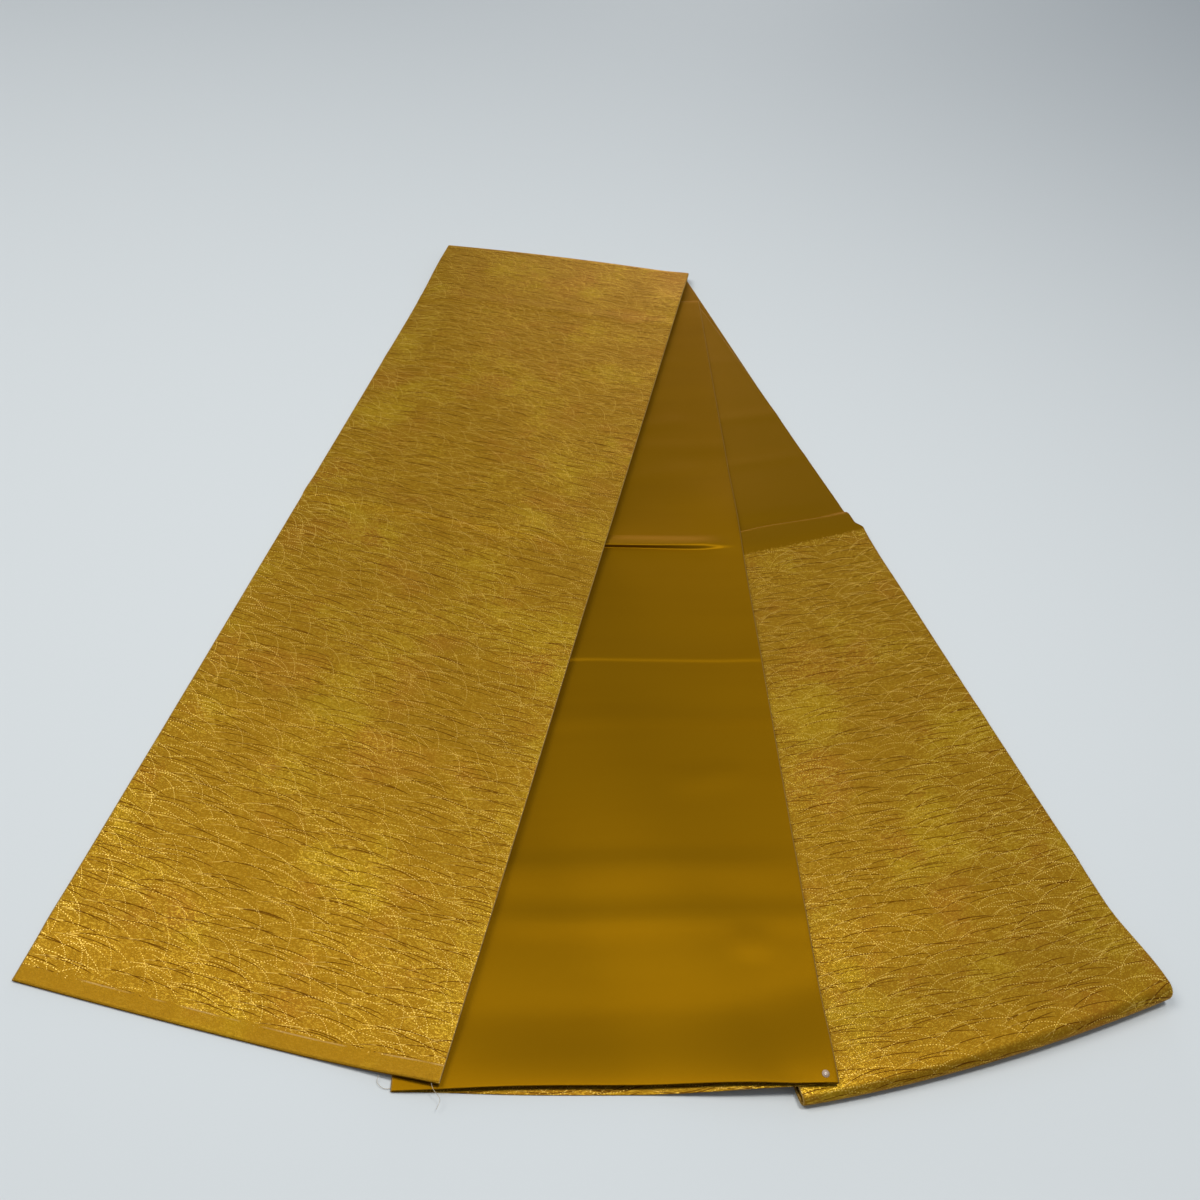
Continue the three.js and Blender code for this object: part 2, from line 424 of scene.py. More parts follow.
def tuck(u, v):
    distance = (v - TUCK_SHARE) * LENGTHS["middle"]
    depth = TUCK_BACK * thinning(u, *TUCK_THINS)
    out = depth * np.exp(-(((distance + TUCK_HALF) / TUCK_HALF) ** 2))
    back = depth * np.exp(-(((distance - TUCK_HALF) / TUCK_HALF) ** 2))
    lip = smooth((TUCK_HALF - distance) / (2 * TUCK_HALF))
    hump = np.sin(0.5 * math.pi * np.clip(1 + (distance + TUCK_HALF) / TUCK_SLOPE, 0, 1))
    behind = smooth(1 + (distance + TUCK_SLOPE) / TUCK_BEHIND)
    shown = smooth((u - TUCK_BEGINS[0]) / TUCK_BEGINS[1])
    rise = TUCK_RISE * lip * (0.25 * behind + 0.75 * hump**1.5) * (1 - 0.25 * u) * shown
    beyond = smooth((distance - TUCK_HALF) / VALLEY_REACH)
    beyond = beyond * (1 - smooth((distance - VALLEY_START) / VALLEY_END))
    rise = rise + VALLEY_RISE * beyond * thinning(u, *VALLEY_THINS) * shown
    return (out - back) * shown, rise


def ridge_overhang(u, v):
    distance = (v - RIDGE_SHARE) * LENGTHS["te"]
    top = np.exp(-(((distance - 0.6 * RIDGE_HALF) / RIDGE_HALF) ** 2))
    foot = np.exp(-(((distance + RIDGE_HALF) / RIDGE_HALF) ** 2))
    begun = smooth((u - RIDGE_BEGINS[0]) / RIDGE_BEGINS[1])
    shown = begun * smooth((RIDGE_ENDS[0] - u) / RIDGE_ENDS[1])
    return RIDGE_BACK * (top - 0.5 * foot) * shown


print("the lip stands", TUCK_RISE * 1000, "mm high and hangs over by", TUCK_BACK * 1000, "mm")

# %% [markdown]
# ## One path for the whole sash
# Both cloths follow the same middle surface, so that is worked out first, as a grid of points:
# rows along the sash and columns across it. An even grid fine enough for a sharp crease would
# have about four thousand rows, so the rows lie close only where a crease, the tuck or an
# end needs them, and the columns only beside the selvages.

# %% Rows and columns
SASH_WIDTH = 0.31
EDGE_STEPS = np.array([0.0, 0.0005, 0.0013, 0.0024, 0.0040])
EDGE_MARGIN = 0.0070
INNER_COLUMNS = 26
INNER = np.linspace(EDGE_MARGIN, SASH_WIDTH - EDGE_MARGIN, INNER_COLUMNS + 1)
ACROSS = np.concatenate([EDGE_STEPS, INNER, (SASH_WIDTH - EDGE_STEPS)[::-1]])
COLUMNS = len(ACROSS) - 1
ROW_STEP = 0.0062
FINE_STEP = 0.0011
FINE_BEFORE = 1.4
FINE_BEYOND = 0.02
SHARP_REACH = 0.007
END_STEPS = (0.0004, 0.0009, 0.0016, 0.0026)


def row_shares(stretch):
    length = LENGTHS[stretch]
    shares = [np.linspace(0, 1, int(length / ROW_STEP) + 1)]
    sharp = [(c["v"], c["near"], c["far"]) for c in CREASES if c["stretch"] == stretch]
    if stretch == "middle":
        sharp.append((TUCK_SHARE, 3 * TUCK_HALF, 3 * TUCK_HALF))
    for v, near, far in sharp:
        if min(near, far) < SHARP_REACH or stretch == "middle" and v == TUCK_SHARE:
            first = v - near * FINE_BEFORE / length
            last = v + min(far, FINE_BEYOND) / length
            shares.append(np.arange(first, last, FINE_STEP / length))
    shares = np.sort(np.concatenate(shares))
    kept = [0.0]
    if stretch in ("tare", "te"):
        kept += [step / length for step in END_STEPS]
    for share in shares:
        if share - kept[-1] > 0.8 * FINE_STEP / length:
            kept.append(float(share))
    kept[-1] = 1.0
    return np.array(kept)


print(COLUMNS, "columns; rows:", {stretch: len(row_shares(stretch)) for stretch in STRETCH_NODES})

# %% [markdown]
# ## Laying the stretches down
# Each stretch takes its points from the plan, its height and its creases. A faint ripple keeps
# it from looking like a board. The stretches are then laid down from the lowest up, and a ray
# cast down at every point finds the cloth below it, so that no stretch sinks into another.
# The Shrinkwrap modifier could do this too, but it would also pull down what should stand up.

# %% Laying down
LAY = [("tare", 1), ("under", -1), ("middle", 1), ("te", -1)]
FROM_BELOW = ("under", "middle", "te", "tare")
RIPPLE = 0.00035
RIPPLE_PHASE = 1.7
STILL_END = 0.05
LEAST_LAYER = PANEL + 0.0003
WELL_ABOVE = 1.0


def ripple(x, y, phase):
    wide = np.sin(9.1 * x + 14.3 * y + phase) * np.sin(17.7 * x - 5.9 * y + 2.1 * phase)
    fine = np.sin(31.0 * x + 23.0 * y + 3.3 * phase) * np.sin(47.0 * y - 12.0 * x + phase)
    return RIPPLE * (wide + 0.4 * fine + 1.0)


def stretch_rows(stretch, way):
    v = row_shares(stretch)[::way]
    u, v = np.meshgrid(ACROSS / SASH_WIDTH, v)
    x, y = plan(stretch, u, v)
    z = HEIGHTS[stretch](x, y) + crease_height(stretch, u, v) + PANEL / 2
    ends = smooth(v / STILL_END) * smooth((1 - v) / STILL_END)
    if stretch != "under":
        z = z + ripple(x, y, RIPPLE_PHASE) * ends
    if stretch == "middle":
        along, up = tuck(u, v)
        y = y + along * math.cos(TUCK_LEAN)
        x = x - along * math.sin(TUCK_LEAN)
        z = z + up
    if stretch == "te":
        y = y - ridge_overhang(u, v)
    return np.stack([x, y, z], axis=-1)


def as_tree(points):
    rows, columns = points.shape[:2]
    flat = [Vector(place) for place in points.reshape(-1, 3)]
    first = [r * columns + c for r in range(rows - 1) for c in range(columns - 1)]
    return BVHTree.FromPolygons(flat, [(k, k + 1, k + columns + 1, k + columns) for k in first])


def lay_down():
    laid = {}
    trees = []
    for name in FROM_BELOW:
        points = stretch_rows(name, dict(LAY)[name])
        for place in points.reshape(-1, 3):
            for tree in trees:
                above = Vector((place[0], place[1], WELL_ABOVE))
                hit = tree.ray_cast(above, Vector((0, 0, -1)))[0]
                if hit is not None:
                    place[2] = max(place[2], hit.z + LEAST_LAYER)
        laid[name] = points
        trees.append(as_tree(points))
    return [laid[name] for name, way in LAY]


stretches = lay_down()
print("highest point of each stretch in mm:",
      {name: round(float(points[..., 2].max()) * 1000, 1) for (name, way), points in zip(LAY, stretches)})

# %% [markdown]
# ## Folding
# Two stretches meet in a fold. Its rows go round half a turn about the line midway between
# the last row of one stretch and the first row of the next, so the fold is as round as
# the stretches are far apart. All the rows together are the path of the whole sash.

# %% Folds
FOLD_ROWS = 10


def fold_rows(last_row, next_row, way):
    across = last_row[-1] - last_row[0]
    out = np.array([-across[1], across[0], 0.0]) * way
    out = out / np.linalg.norm(out)
    middle = (last_row + next_row) / 2
    radius = (last_row[:, 2] - next_row[:, 2]) / 2
    turns = np.linspace(0, math.pi, FOLD_ROWS + 1)[1:-1]
    rows = []
    for angle in turns:
        row = middle + np.outer(np.abs(radius) * math.sin(angle), out)
        row[:, 2] = middle[:, 2] + radius * math.cos(angle)
        rows.append(row)
    return np.array(rows)


def middle_surface():
    pieces = [stretches[0]]
    marks = [0, len(stretches[0]) - 1]
    for k in range(1, len(stretches)):
        way = LAY[k - 1][1]
        pieces.append(fold_rows(stretches[k - 1][-1], stretches[k][0], way))
        pieces.append(stretches[k])
        start = sum(len(piece) for piece in pieces[:-1])
        marks += [start, start + len(stretches[k]) - 1]
    return np.concatenate(pieces), marks


surface, marks = middle_surface()
steps = np.linalg.norm(np.diff(surface.mean(axis=1), axis=0), axis=1)
run = np.concatenate([[0], np.cumsum(steps)])
SASH_LENGTH = float(run[-1])
ROWS = len(surface) - 1
print("sash is", round(SASH_LENGTH, 3), "m long in", ROWS, "rows; stretches start and end at", marks)

# %% [markdown]
# ## How far apart the two cloths are
# The front cloth lies on one side of the middle surface and the back cloth on the other. They
# are held apart by the stiffening and come together at the selvages, where they are sewn, in
# a small round edge. The te end is left a little open, so its two edges part like lips.

# %% Front and back points
HALF_GAP = PANEL / 2
SEAM_REACH = 0.0026
END_REACH = 0.0016
SEAM_HALF_GAP = 0.00075
NORMAL_PASSES = 3
MOUTH_OPEN = 0.0022
MOUTH_REACH = 0.060
LOWER_LIP = 0.0022


def surface_normals(points):
    across = np.gradient(points, axis=1)
    along = np.gradient(points, axis=0)
    normals = np.cross(across, along)
    normals /= np.linalg.norm(normals, axis=2, keepdims=True)
    for _ in range(NORMAL_PASSES):
        normals[1:-1] = (normals[:-2] + 2 * normals[1:-1] + normals[2:]) / 4
    return normals / np.linalg.norm(normals, axis=2, keepdims=True)


def mouth_share():
    belly = 1 - (2 * ACROSS / SASH_WIDTH - 1) ** 4
    return np.outer(smooth(1 - (SASH_LENGTH - run) / MOUTH_REACH), belly)


def half_gap():
    to_edge = np.minimum(ACROSS, SASH_WIDTH - ACROSS)
    full = np.sqrt(np.clip(1 - (1 - np.clip(to_edge / SEAM_REACH, 0, 1)) ** 2, 0, 1))
    end = smooth(run / END_REACH)
    share = np.outer(end, full)
    return SEAM_HALF_GAP + (HALF_GAP - SEAM_HALF_GAP) * share + MOUTH_OPEN * mouth_share()


surface[..., 2] += MOUTH_OPEN * mouth_share()
normals = surface_normals(surface)
gap = half_gap()[..., None]
FRONT_POINTS = surface + normals * gap
BACK_POINTS = surface - normals * gap
FRONT_POINTS[..., 1] -= LOWER_LIP * mouth_share() ** 4
BACK_POINTS[..., 1] += LOWER_LIP * mouth_share() ** 4
print("the cloths are", [round(float(end) * 2000, 2) for end in (gap.min(), gap.max())], "mm apart")

# %% [markdown]
# ## The two cloths
# Each cloth starts as a flat grid from bmesh, whose points are then carried onto the sash.
# A cloth simulation could fold it, but a stiff sash with few sharp creases would come out too
# soft. Draping it this way also keeps its weave straight, because the flat grid is its UV map,
# in metres. A Solidify modifier gives each cloth its own thickness.

# %% Cloth meshes
CLOTH_THICKNESS = 0.0008


def drape(name, points, flip):
    sheet_bm = bmesh.new()
    bmesh.ops.create_grid(sheet_bm, x_segments=COLUMNS, y_segments=ROWS, size=0.5)
    uv_layer = sheet_bm.loops.layers.uv.new("cloth")
    places = {}
    for vert in sheet_bm.verts:
        column = round((vert.co.x + 0.5) * COLUMNS)
        row = round((vert.co.y + 0.5) * ROWS)
        places[vert] = (column, row)
    for face in sheet_bm.faces:
        face.smooth = True
        for loop in face.loops:
            column, row = places[loop.vert]
            loop[uv_layer].uv = (ACROSS[column], run[row])
    for vert, (column, row) in places.items():
        vert.co = points[row, column]
    if flip:
        bmesh.ops.reverse_faces(sheet_bm, faces=sheet_bm.faces)
    piece = to_object(name, sheet_bm)
    wall = piece.modifiers.new("cloth wall", "SOLIDIFY")
    wall.thickness = CLOTH_THICKNESS
    wall.offset = -1.0
    wall.use_even_offset = False
    return piece


front_cloth = drape("front_cloth", FRONT_POINTS, False)
back_cloth = drape("back_cloth", BACK_POINTS, True)
for piece in (front_cloth, back_cloth):
    print(piece.name, len(piece.data.polygons), "faces before its wall")

# %% [markdown]
# ## Wiring nodes in fewer words
# A material is a tree of nodes, and each link and value takes a line of its own. Long sums
# would fill pages that way, so a small helper adds a node and fills its inputs in one call. An
# input takes either a number or the output of another node.

# %% Wiring helper
def group_socket(group, name, kind, way, value=None):
    socket = group.interface.new_socket(name=name, in_out=way, socket_type=kind)
    if value is not None:
        socket.default_value = value
    return socket


class Wiring:
    """Adds nodes to a tree, and links or sets their inputs in one call."""

    def __init__(self, tree):
        self.tree = tree

    def put(self, socket, value):
        if isinstance(value, bpy.types.NodeSocket):
            self.tree.links.new(value, socket)
        else:
            socket.default_value = value

    def node(self, kind, output=0, settings=None, **inputs):
        made = self.tree.nodes.new(kind)
        for key, value in (settings or {}).items():
            setattr(made, key, value)
        for key, value in inputs.items():
            socket = made.inputs[int(key[1:])] if key[1:].isdigit() else made.inputs[key.replace("_", " ")]
            self.put(socket, value)
        return made.outputs[output]

    def math(self, operation, a, b=0.0, c=0.0):
        return self.node("ShaderNodeMath", 0, {"operation": operation}, i0=a, i1=b, i2=c)

    def vector(self, operation, a, b=(0.0, 0.0, 0.0)):
        return self.node("ShaderNodeVectorMath", 0, {"operation": operation}, i0=a, i1=b)

    def step(self, value, low, high):
        made = self.tree.nodes.new("ShaderNodeMapRange")
        made.interpolation_type = "SMOOTHSTEP"
        for index, given in enumerate((value, low, high, 0.0, 1.0)):
            self.put(made.inputs[index], given)
        return made.outputs[0]

    def mix(self, share, a, b):
        made = self.tree.nodes.new("ShaderNodeMix")
        made.data_type = "RGBA"
        self.put(made.inputs[0], share)
        self.put(made.inputs[6], a)
        self.put(made.inputs[7], b)
        return made.outputs[2]

    def split(self, vector):
        made = self.tree.nodes.new("ShaderNodeSeparateXYZ")
        self.put(made.inputs[0], vector)
        return made.outputs

    def chances(self, colour):
        made = self.tree.nodes.new("ShaderNodeSeparateColor")
        self.put(made.inputs[0], colour)
        return made.outputs

    def noise(self, place, scale, detail, **more):
        return self.node("ShaderNodeTexNoise", 0, None, Vector=place, Scale=scale, Detail=detail, **more)


print("helper calls:", [name for name in vars(Wiring) if not name.startswith("_")])

# %% [markdown]
# ## Grass blades, as a node group
# The brocade is figured all over with long thin grass blades that bow under dew, an old
# pattern. Drawing thousands of them as threads would be slow, so a node group repeats one
# blade in a grid of cells. Each row of cells slides sideways by chance, and each blade moves,
# bends and sometimes stays away by chance, so no repeat shows. Its inputs are named sizes.

# %% Blade group
BLADE_INPUTS = {
    "Cell Width": 0.06,
    "Cell Length": 0.014,
    "Blade Length": 0.8,
    "Bow": 0.9,
    "Thickness": 0.0006,
    "Turn": 0.0,
    "Share": 0.8,
    "Seed": 0.0,
}
BLADE_HOME = 0.62
BLADE_WANDER = 0.45
BLADE_LEAN = 0.55


def blade_group():
    group = bpy.data.node_groups.new("grass_blades", "ShaderNodeTree")
    group_socket(group, "Cloth", "NodeSocketVector", "INPUT")
    for name, value in BLADE_INPUTS.items():
        group_socket(group, name, "NodeSocketFloat", "INPUT", value)
    group_socket(group, "Blade", "NodeSocketFloat", "OUTPUT")
    group_socket(group, "Along", "NodeSocketFloat", "OUTPUT")
    w = Wiring(group)
    given = group.nodes.new("NodeGroupInput").outputs
    about_z = {"rotation_type": "Z_AXIS"}
    turned = w.node("ShaderNodeVectorRotate", 0, about_z, Vector=given["Cloth"], Angle=given["Turn"])
    split = w.split(turned)
    rows = w.math("DIVIDE", split[1], given["Cell Length"])
    row = w.math("FLOOR", rows)
    slide_seed = w.math("ADD", w.math("MULTIPLY", row, 7.31), given["Seed"])
    slide = w.node("ShaderNodeTexWhiteNoise", 0, {"noise_dimensions": "1D"}, W=slide_seed)
    cells = w.math("ADD", w.math("DIVIDE", split[0], given["Cell Width"]), slide)
    cell = w.math("FLOOR", cells)
    place = w.node("ShaderNodeCombineXYZ", 0, None, X=cell, Y=row, Z=given["Seed"])
    chances = w.chances(w.node("ShaderNodeTexWhiteNoise", 1, None, Vector=place))
    across = w.math("SUBTRACT", w.math("SUBTRACT", cells, cell), 0.5)
    across = w.math("DIVIDE", across, w.math("MULTIPLY", given["Blade Length"], 0.5))
    up = w.math("SUBTRACT", w.math("SUBTRACT", rows, row), BLADE_HOME)
    wander = w.math("MULTIPLY", w.math("SUBTRACT", chances[0], 0.5), BLADE_WANDER)
    up = w.math("SUBTRACT", up, wander)
    lean = w.math("MULTIPLY", w.math("SUBTRACT", chances[1], 0.5), BLADE_LEAN)
    bowed = w.math("MULTIPLY", w.math("MULTIPLY", across, across), given["Bow"])
    curve = w.math("ADD", w.math("ADD", up, bowed), w.math("MULTIPLY", across, lean))
    distance = w.math("MULTIPLY", w.math("ABSOLUTE", curve), given["Cell Length"])
    end = w.math("SUBTRACT", 1.0, w.math("ABSOLUTE", across))
    taper = w.math("MULTIPLY", given["Thickness"], w.step(end, 0.0, 0.45))
    line = w.math("SUBTRACT", 1.0, w.step(distance, w.math("MULTIPLY", taper, 0.35), taper))
    line = w.math("MULTIPLY", line, w.step(end, 0.0, 0.04))
    there = w.math("LESS_THAN", chances[2], given["Share"])
    result = group.nodes.new("NodeGroupOutput")
    w.put(result.inputs["Blade"], w.math("MULTIPLY", line, there))
    w.put(result.inputs["Along"], across)
    return group


BLADES = blade_group()
print("group", BLADES.name, "has", len(BLADES.nodes), "nodes")

# %% [markdown]
# ## Weave, as a node group
# Both cloths show their weave when seen close: fine floats of thread that run across the
# width. Stretched noise at the size of a float gives a height for the bump and a mask for the
# glint of metal thread. The same group serves the brocade, coarse, and the satin, fine.

# %% Weave group
def weave_group():
    group = bpy.data.node_groups.new("woven_floats", "ShaderNodeTree")
    group_socket(group, "Cloth", "NodeSocketVector", "INPUT")
    group_socket(group, "Float Length", "NodeSocketFloat", "INPUT", 0.0016)
    group_socket(group, "Float Width", "NodeSocketFloat", "INPUT", 0.0005)
    group_socket(group, "Height", "NodeSocketFloat", "OUTPUT")
    group_socket(group, "Glint", "NodeSocketFloat", "OUTPUT")
    w = Wiring(group)
    given = group.nodes.new("NodeGroupInput").outputs
    size = w.node("ShaderNodeCombineXYZ", 0, None, X=given["Float Length"], Y=given["Float Width"], Z=1.0)
    scaled = w.vector("DIVIDE", given["Cloth"], size)
    height = w.noise(scaled, 1.0, 2.0, Roughness=0.6)
    spot_place = w.vector("MULTIPLY", scaled, (0.55, 0.55, 1.0))
    spots = w.node("ShaderNodeTexVoronoi", 1, None, Vector=spot_place, Scale=1.0)
    result = group.nodes.new("NodeGroupOutput")
    w.put(result.inputs["Height"], height)
    w.put(result.inputs["Glint"], w.step(w.chances(spots)[0], 0.72, 0.95))
    return group


WEAVE = weave_group()
print("group", WEAVE.name, "has", len(WEAVE.nodes), "nodes")

# %% [markdown]
# ## Front brocade: where it is figured
# The figure stops short of the tare end, and again at the tuck. Beyond that the cloth is plain
# until its last half metre. The UV map runs in metres, so each limit is a plain distance
# along the sash. A little noise leaves the limits ragged by a thread or two, as weaving does.

# %% Figured parts
TARE_BAND = 0.012
BAND_BLEND = 0.002
TE_FIGURE = 0.46
FIGURE_BLEND = 0.003
BEFORE_TUCK = 0.030
TUCK_RUN = float(run[marks[4]] + (TUCK_SHARE - BEFORE_TUCK) * LENGTHS["middle"])
RAGGED_SCALE = 420.0
RAGGED_REACH = 0.012


def figured_parts(w, cloth, along):
    ragged = w.noise(cloth, RAGGED_SCALE, 1.0)
    ragged = w.math("MULTIPLY", w.math("SUBTRACT", ragged, 0.5), RAGGED_REACH)
    wandering = w.math("ADD", along, ragged)
    past_band = w.step(wandering, TARE_BAND, TARE_BAND + BAND_BLEND)
    before_tuck = w.math("SUBTRACT", 1.0, w.step(wandering, TUCK_RUN - FIGURE_BLEND, TUCK_RUN))
    te_start = SASH_LENGTH - TE_FIGURE
    te_part = w.step(wandering, te_start, te_start + FIGURE_BLEND)
    figured = w.math("MAXIMUM", w.math("MULTIPLY", past_band, before_tuck), te_part)
    woven_gold = w.math("MAXIMUM", before_tuck, te_part)
    return past_band, figured, woven_gold


print("figured to", round(TUCK_RUN, 3), "m, and again from", round(SASH_LENGTH - TE_FIGURE, 3), "m")

# %% [markdown]
# ## Front brocade: the gold ground
# The ground is woven with flat gold thread, clouded with yellower and browner patches. Two
# noises of different sizes make the clouds. The weave group is placed twice, coarse and fine.
# Its glint mask paints single floats bright gold, a painted glint where the metal thread turns
# to the light, and makes them smoother. Its height also paints the ground darker in places,
# a painted shade in the weave.

# %% Gold ground
GROUND = (0.312, 0.157, 0.008, 1.0)
GROUND_YELLOW = (0.355, 0.205, 0.008, 1.0)
GROUND_BROWN = (0.320, 0.144, 0.010, 1.0)
GROUND_SHADE = (0.20, 0.100, 0.008, 1.0)
GLINT_GOLD = (0.70, 0.44, 0.04, 1.0)
CLOUD_SCALE = 11.0
BROWN_SCALE = 17.0


def place_group(w, group, cloth, **values):
    made = w.tree.nodes.new("ShaderNodeGroup")
    made.node_tree = group
    w.put(made.inputs["Cloth"], cloth)
    for key, value in values.items():
        w.put(made.inputs[key.replace("_", " ").title()], value)
    return made.outputs


def gold_ground(w, cloth, past_band, woven_gold):
    clouds = w.noise(cloth, CLOUD_SCALE, 3.0, Roughness=0.55)
    browns = w.noise(w.vector("ADD", cloth, (5.2, 1.3, 0.0)), BROWN_SCALE, 2.0)
    ground = w.mix(w.step(clouds, 0.50, 0.68), GROUND, GROUND_YELLOW)
    ground = w.mix(w.step(browns, 0.52, 0.68), ground, GROUND_BROWN)
    weave = place_group(w, WEAVE, cloth, float_length=0.0011, float_width=0.0005)
    moved = w.vector("ADD", cloth, (0.37, 0.11, 0.0))
    fine = place_group(w, WEAVE, moved, float_length=0.0006, float_width=0.0004)
    # painted shade: the ground is painted darker where the weave's height is high
    shaded = w.math("MULTIPLY", w.step(weave["Height"], 0.46, 0.72), 0.55)
    ground = w.mix(shaded, ground, GROUND_SHADE)
    cloudy = w.math("ADD", 0.26, w.math("MULTIPLY", w.step(clouds, 0.42, 0.66), 0.34))
    speckled = w.math("MULTIPLY", cloudy, w.math("ADD", 0.25, w.math("MULTIPLY", past_band, 0.75)))
    glints = w.math("MULTIPLY", w.math("MAXIMUM", weave["Glint"], fine["Glint"]), speckled)
    glints = w.math("MULTIPLY", glints, woven_gold)
    # painted glint: single floats of the weave are painted bright gold
    ground = w.mix(glints, ground, GLINT_GOLD)
    return ground, glints, weave["Height"], fine["Height"]


print("clouds about", round(1000 / CLOUD_SCALE), "and", round(1000 / BROWN_SCALE), "mm wide")

# %% [markdown]
# ## Front brocade: the blades
# Over the ground lie dark brown blades, and fine dotted blades in bright gold at all angles.
# Most brown blades are dark only for part of their length and gold along the rest: painted
# shade where the thread turns from the light and a painted glint where it turns to it. Each
# row of the table places the blade group once, with its own sizes, turn and seed. A noise
# breaks the brown into dashes, and a sine along the blade breaks the gold into dots.

# %% Blades
BLADE_COLUMNS = ("colour", "cell_width", "cell_length", "blade_length", "bow", "thickness", "turn",
                 "share", "seed")
BLADE_ROWS = [
    ("brown", 0.055, 0.0090, 0.96, 0.34, 0.00046, 0.04, 0.80, 1.0),
    ("brown", 0.047, 0.0130, 0.96, 0.28, 0.00046, -0.03, 0.75, 2.0),
    ("brown", 0.062, 0.0120, 0.94, 0.32, 0.00042, 0.07, 0.75, 3.0),
    ("gold", 0.047, 0.0115, 0.98, 0.45, 0.00040, 0.12, 0.80, 4.0),
    ("gold", 0.043, 0.0150, 0.98, 0.40, 0.00040, -0.30, 0.65, 5.0),
    ("gold", 0.034, 0.0135, 0.98, 0.36, 0.00038, 0.70, 0.55, 6.0),
    ("gold", 0.050, 0.0125, 0.98, 0.44, 0.00040, 0.34, 0.70, 7.0),
    ("gold", 0.035, 0.0160, 0.98, 0.30, 0.00038, 1.15, 0.45, 8.0),
]
DASH_SCALE = 130.0
DASH_REACH = 2.4
DOTS_PER_BLADE = 62.0
PAINTED_GLINT_SHARE = 0.6


def blade_figure(w, cloth):
    dashes = w.noise(cloth, DASH_SCALE, 1.0)
    dashes = w.math("MULTIPLY", w.math("SUBTRACT", dashes, 0.5), DASH_REACH)
    brown, gold = 0.0, 0.0
    for row in BLADE_ROWS:
        sizes = dict(zip(BLADE_COLUMNS, row))
        colour = sizes.pop("colour")
        blade = place_group(w, BLADES, cloth, **sizes)
        if colour == "brown":
            # the blade is a real figure; its dark part is painted shade and the gold rest a painted glint
            dark_part = w.step(w.math("ADD", blade["Along"], dashes), -0.75, -0.25)
            brown = w.math("MAXIMUM", brown, w.math("MULTIPLY", blade["Blade"], dark_part))
            painted_glint_part = w.math("MULTIPLY", w.math("SUBTRACT", 1.0, dark_part), PAINTED_GLINT_SHARE)
            gold = w.math("MAXIMUM", gold, w.math("MULTIPLY", blade["Blade"], painted_glint_part))
        else:
            wave = w.math("SINE", w.math("MULTIPLY", blade["Along"], DOTS_PER_BLADE))
            dots = w.step(wave, -0.1, 0.5)
            gold = w.math("MAXIMUM", gold, w.math("MULTIPLY", blade["Blade"], dots))
    return brown, gold


print(len(BLADE_ROWS), "kinds of blade:", sorted({row[0] for row in BLADE_ROWS}))

# %% [markdown]
# ## Front brocade: the whole material
# The parts come together here. The gold blades are painted brighter toward the outer
# selvages, a painted highlight where the cloth turns to the light, and the plain part is a
# quiet satin of its own. A pale line of thread shows along both selvages and, broken, beside
# the tare end. Brocade is mostly metal to the eye, so Metallic is high and the white specular low.

# %% Brocade material
PLAIN_GROUND = (0.240, 0.117, 0.0020, 1.0)
PLAIN_STREAK = (0.215, 0.103, 0.003, 1.0)
BROWN_THREAD = (0.125, 0.043, 0.003, 1.0)
BRIGHT_THREAD = (0.98, 0.66, 0.14, 1.0)
PALE_THREAD = (0.48, 0.32, 0.12, 1.0)
GOLD_TINT = (1.0, 0.60, 0.03, 1.0)
LEFT_GLOW = 0.070
RIGHT_GLOW = 0.110
TARE_ENDS = 1.0


# painted highlight: gold blades painted brighter near the left selvage on the tare, near the right one
# elsewhere
def painted_blade_glint(w, across, along):
    left_glow = w.math("SUBTRACT", 1.0, w.step(across, 0.0, LEFT_GLOW))
    right_glow = w.step(across, SASH_WIDTH - RIGHT_GLOW, SASH_WIDTH)
    on_tare = w.math("SUBTRACT", 1.0, w.step(along, TARE_ENDS, TARE_ENDS + 0.1))
    glow = w.mix(on_tare, right_glow, left_glow)
    return w.math("ADD", 0.62, w.math("MULTIPLY", glow, 0.38))


def selvage_line(w, across, strength):
    to_edge = w.math("MINIMUM", across, w.math("SUBTRACT", SASH_WIDTH, across))
    return w.math("MULTIPLY", w.math("SUBTRACT", 1.0, w.step(to_edge, 0.0003, 0.0012)), strength)


def pale_lines(w, cloth, across, along):
    band_line = w.math("ABSOLUTE", w.math("SUBTRACT", along, TARE_BAND))
    band_line = w.math("SUBTRACT", 1.0, w.step(band_line, 0.0002, 0.0008))
    band_line = w.math("MULTIPLY", band_line, 0.45)
    broken = w.noise(cloth, 26.0, 2.0)
    band_line = w.math("MULTIPLY", band_line, w.step(broken, 0.42, 0.56))
    return w.math("MAXIMUM", band_line, selvage_line(w, across, 0.55))


def set_gold_cloth(shader, specular, sheen_roughness):
    shader.inputs["Specular IOR Level"].default_value = specular
    shader.inputs["Specular Tint"].default_value = GOLD_TINT
    shader.inputs["Sheen Weight"].default_value = 0.05
    shader.inputs["Sheen Roughness"].default_value = sheen_roughness
    shader.inputs["Sheen Tint"].default_value = GOLD_TINT


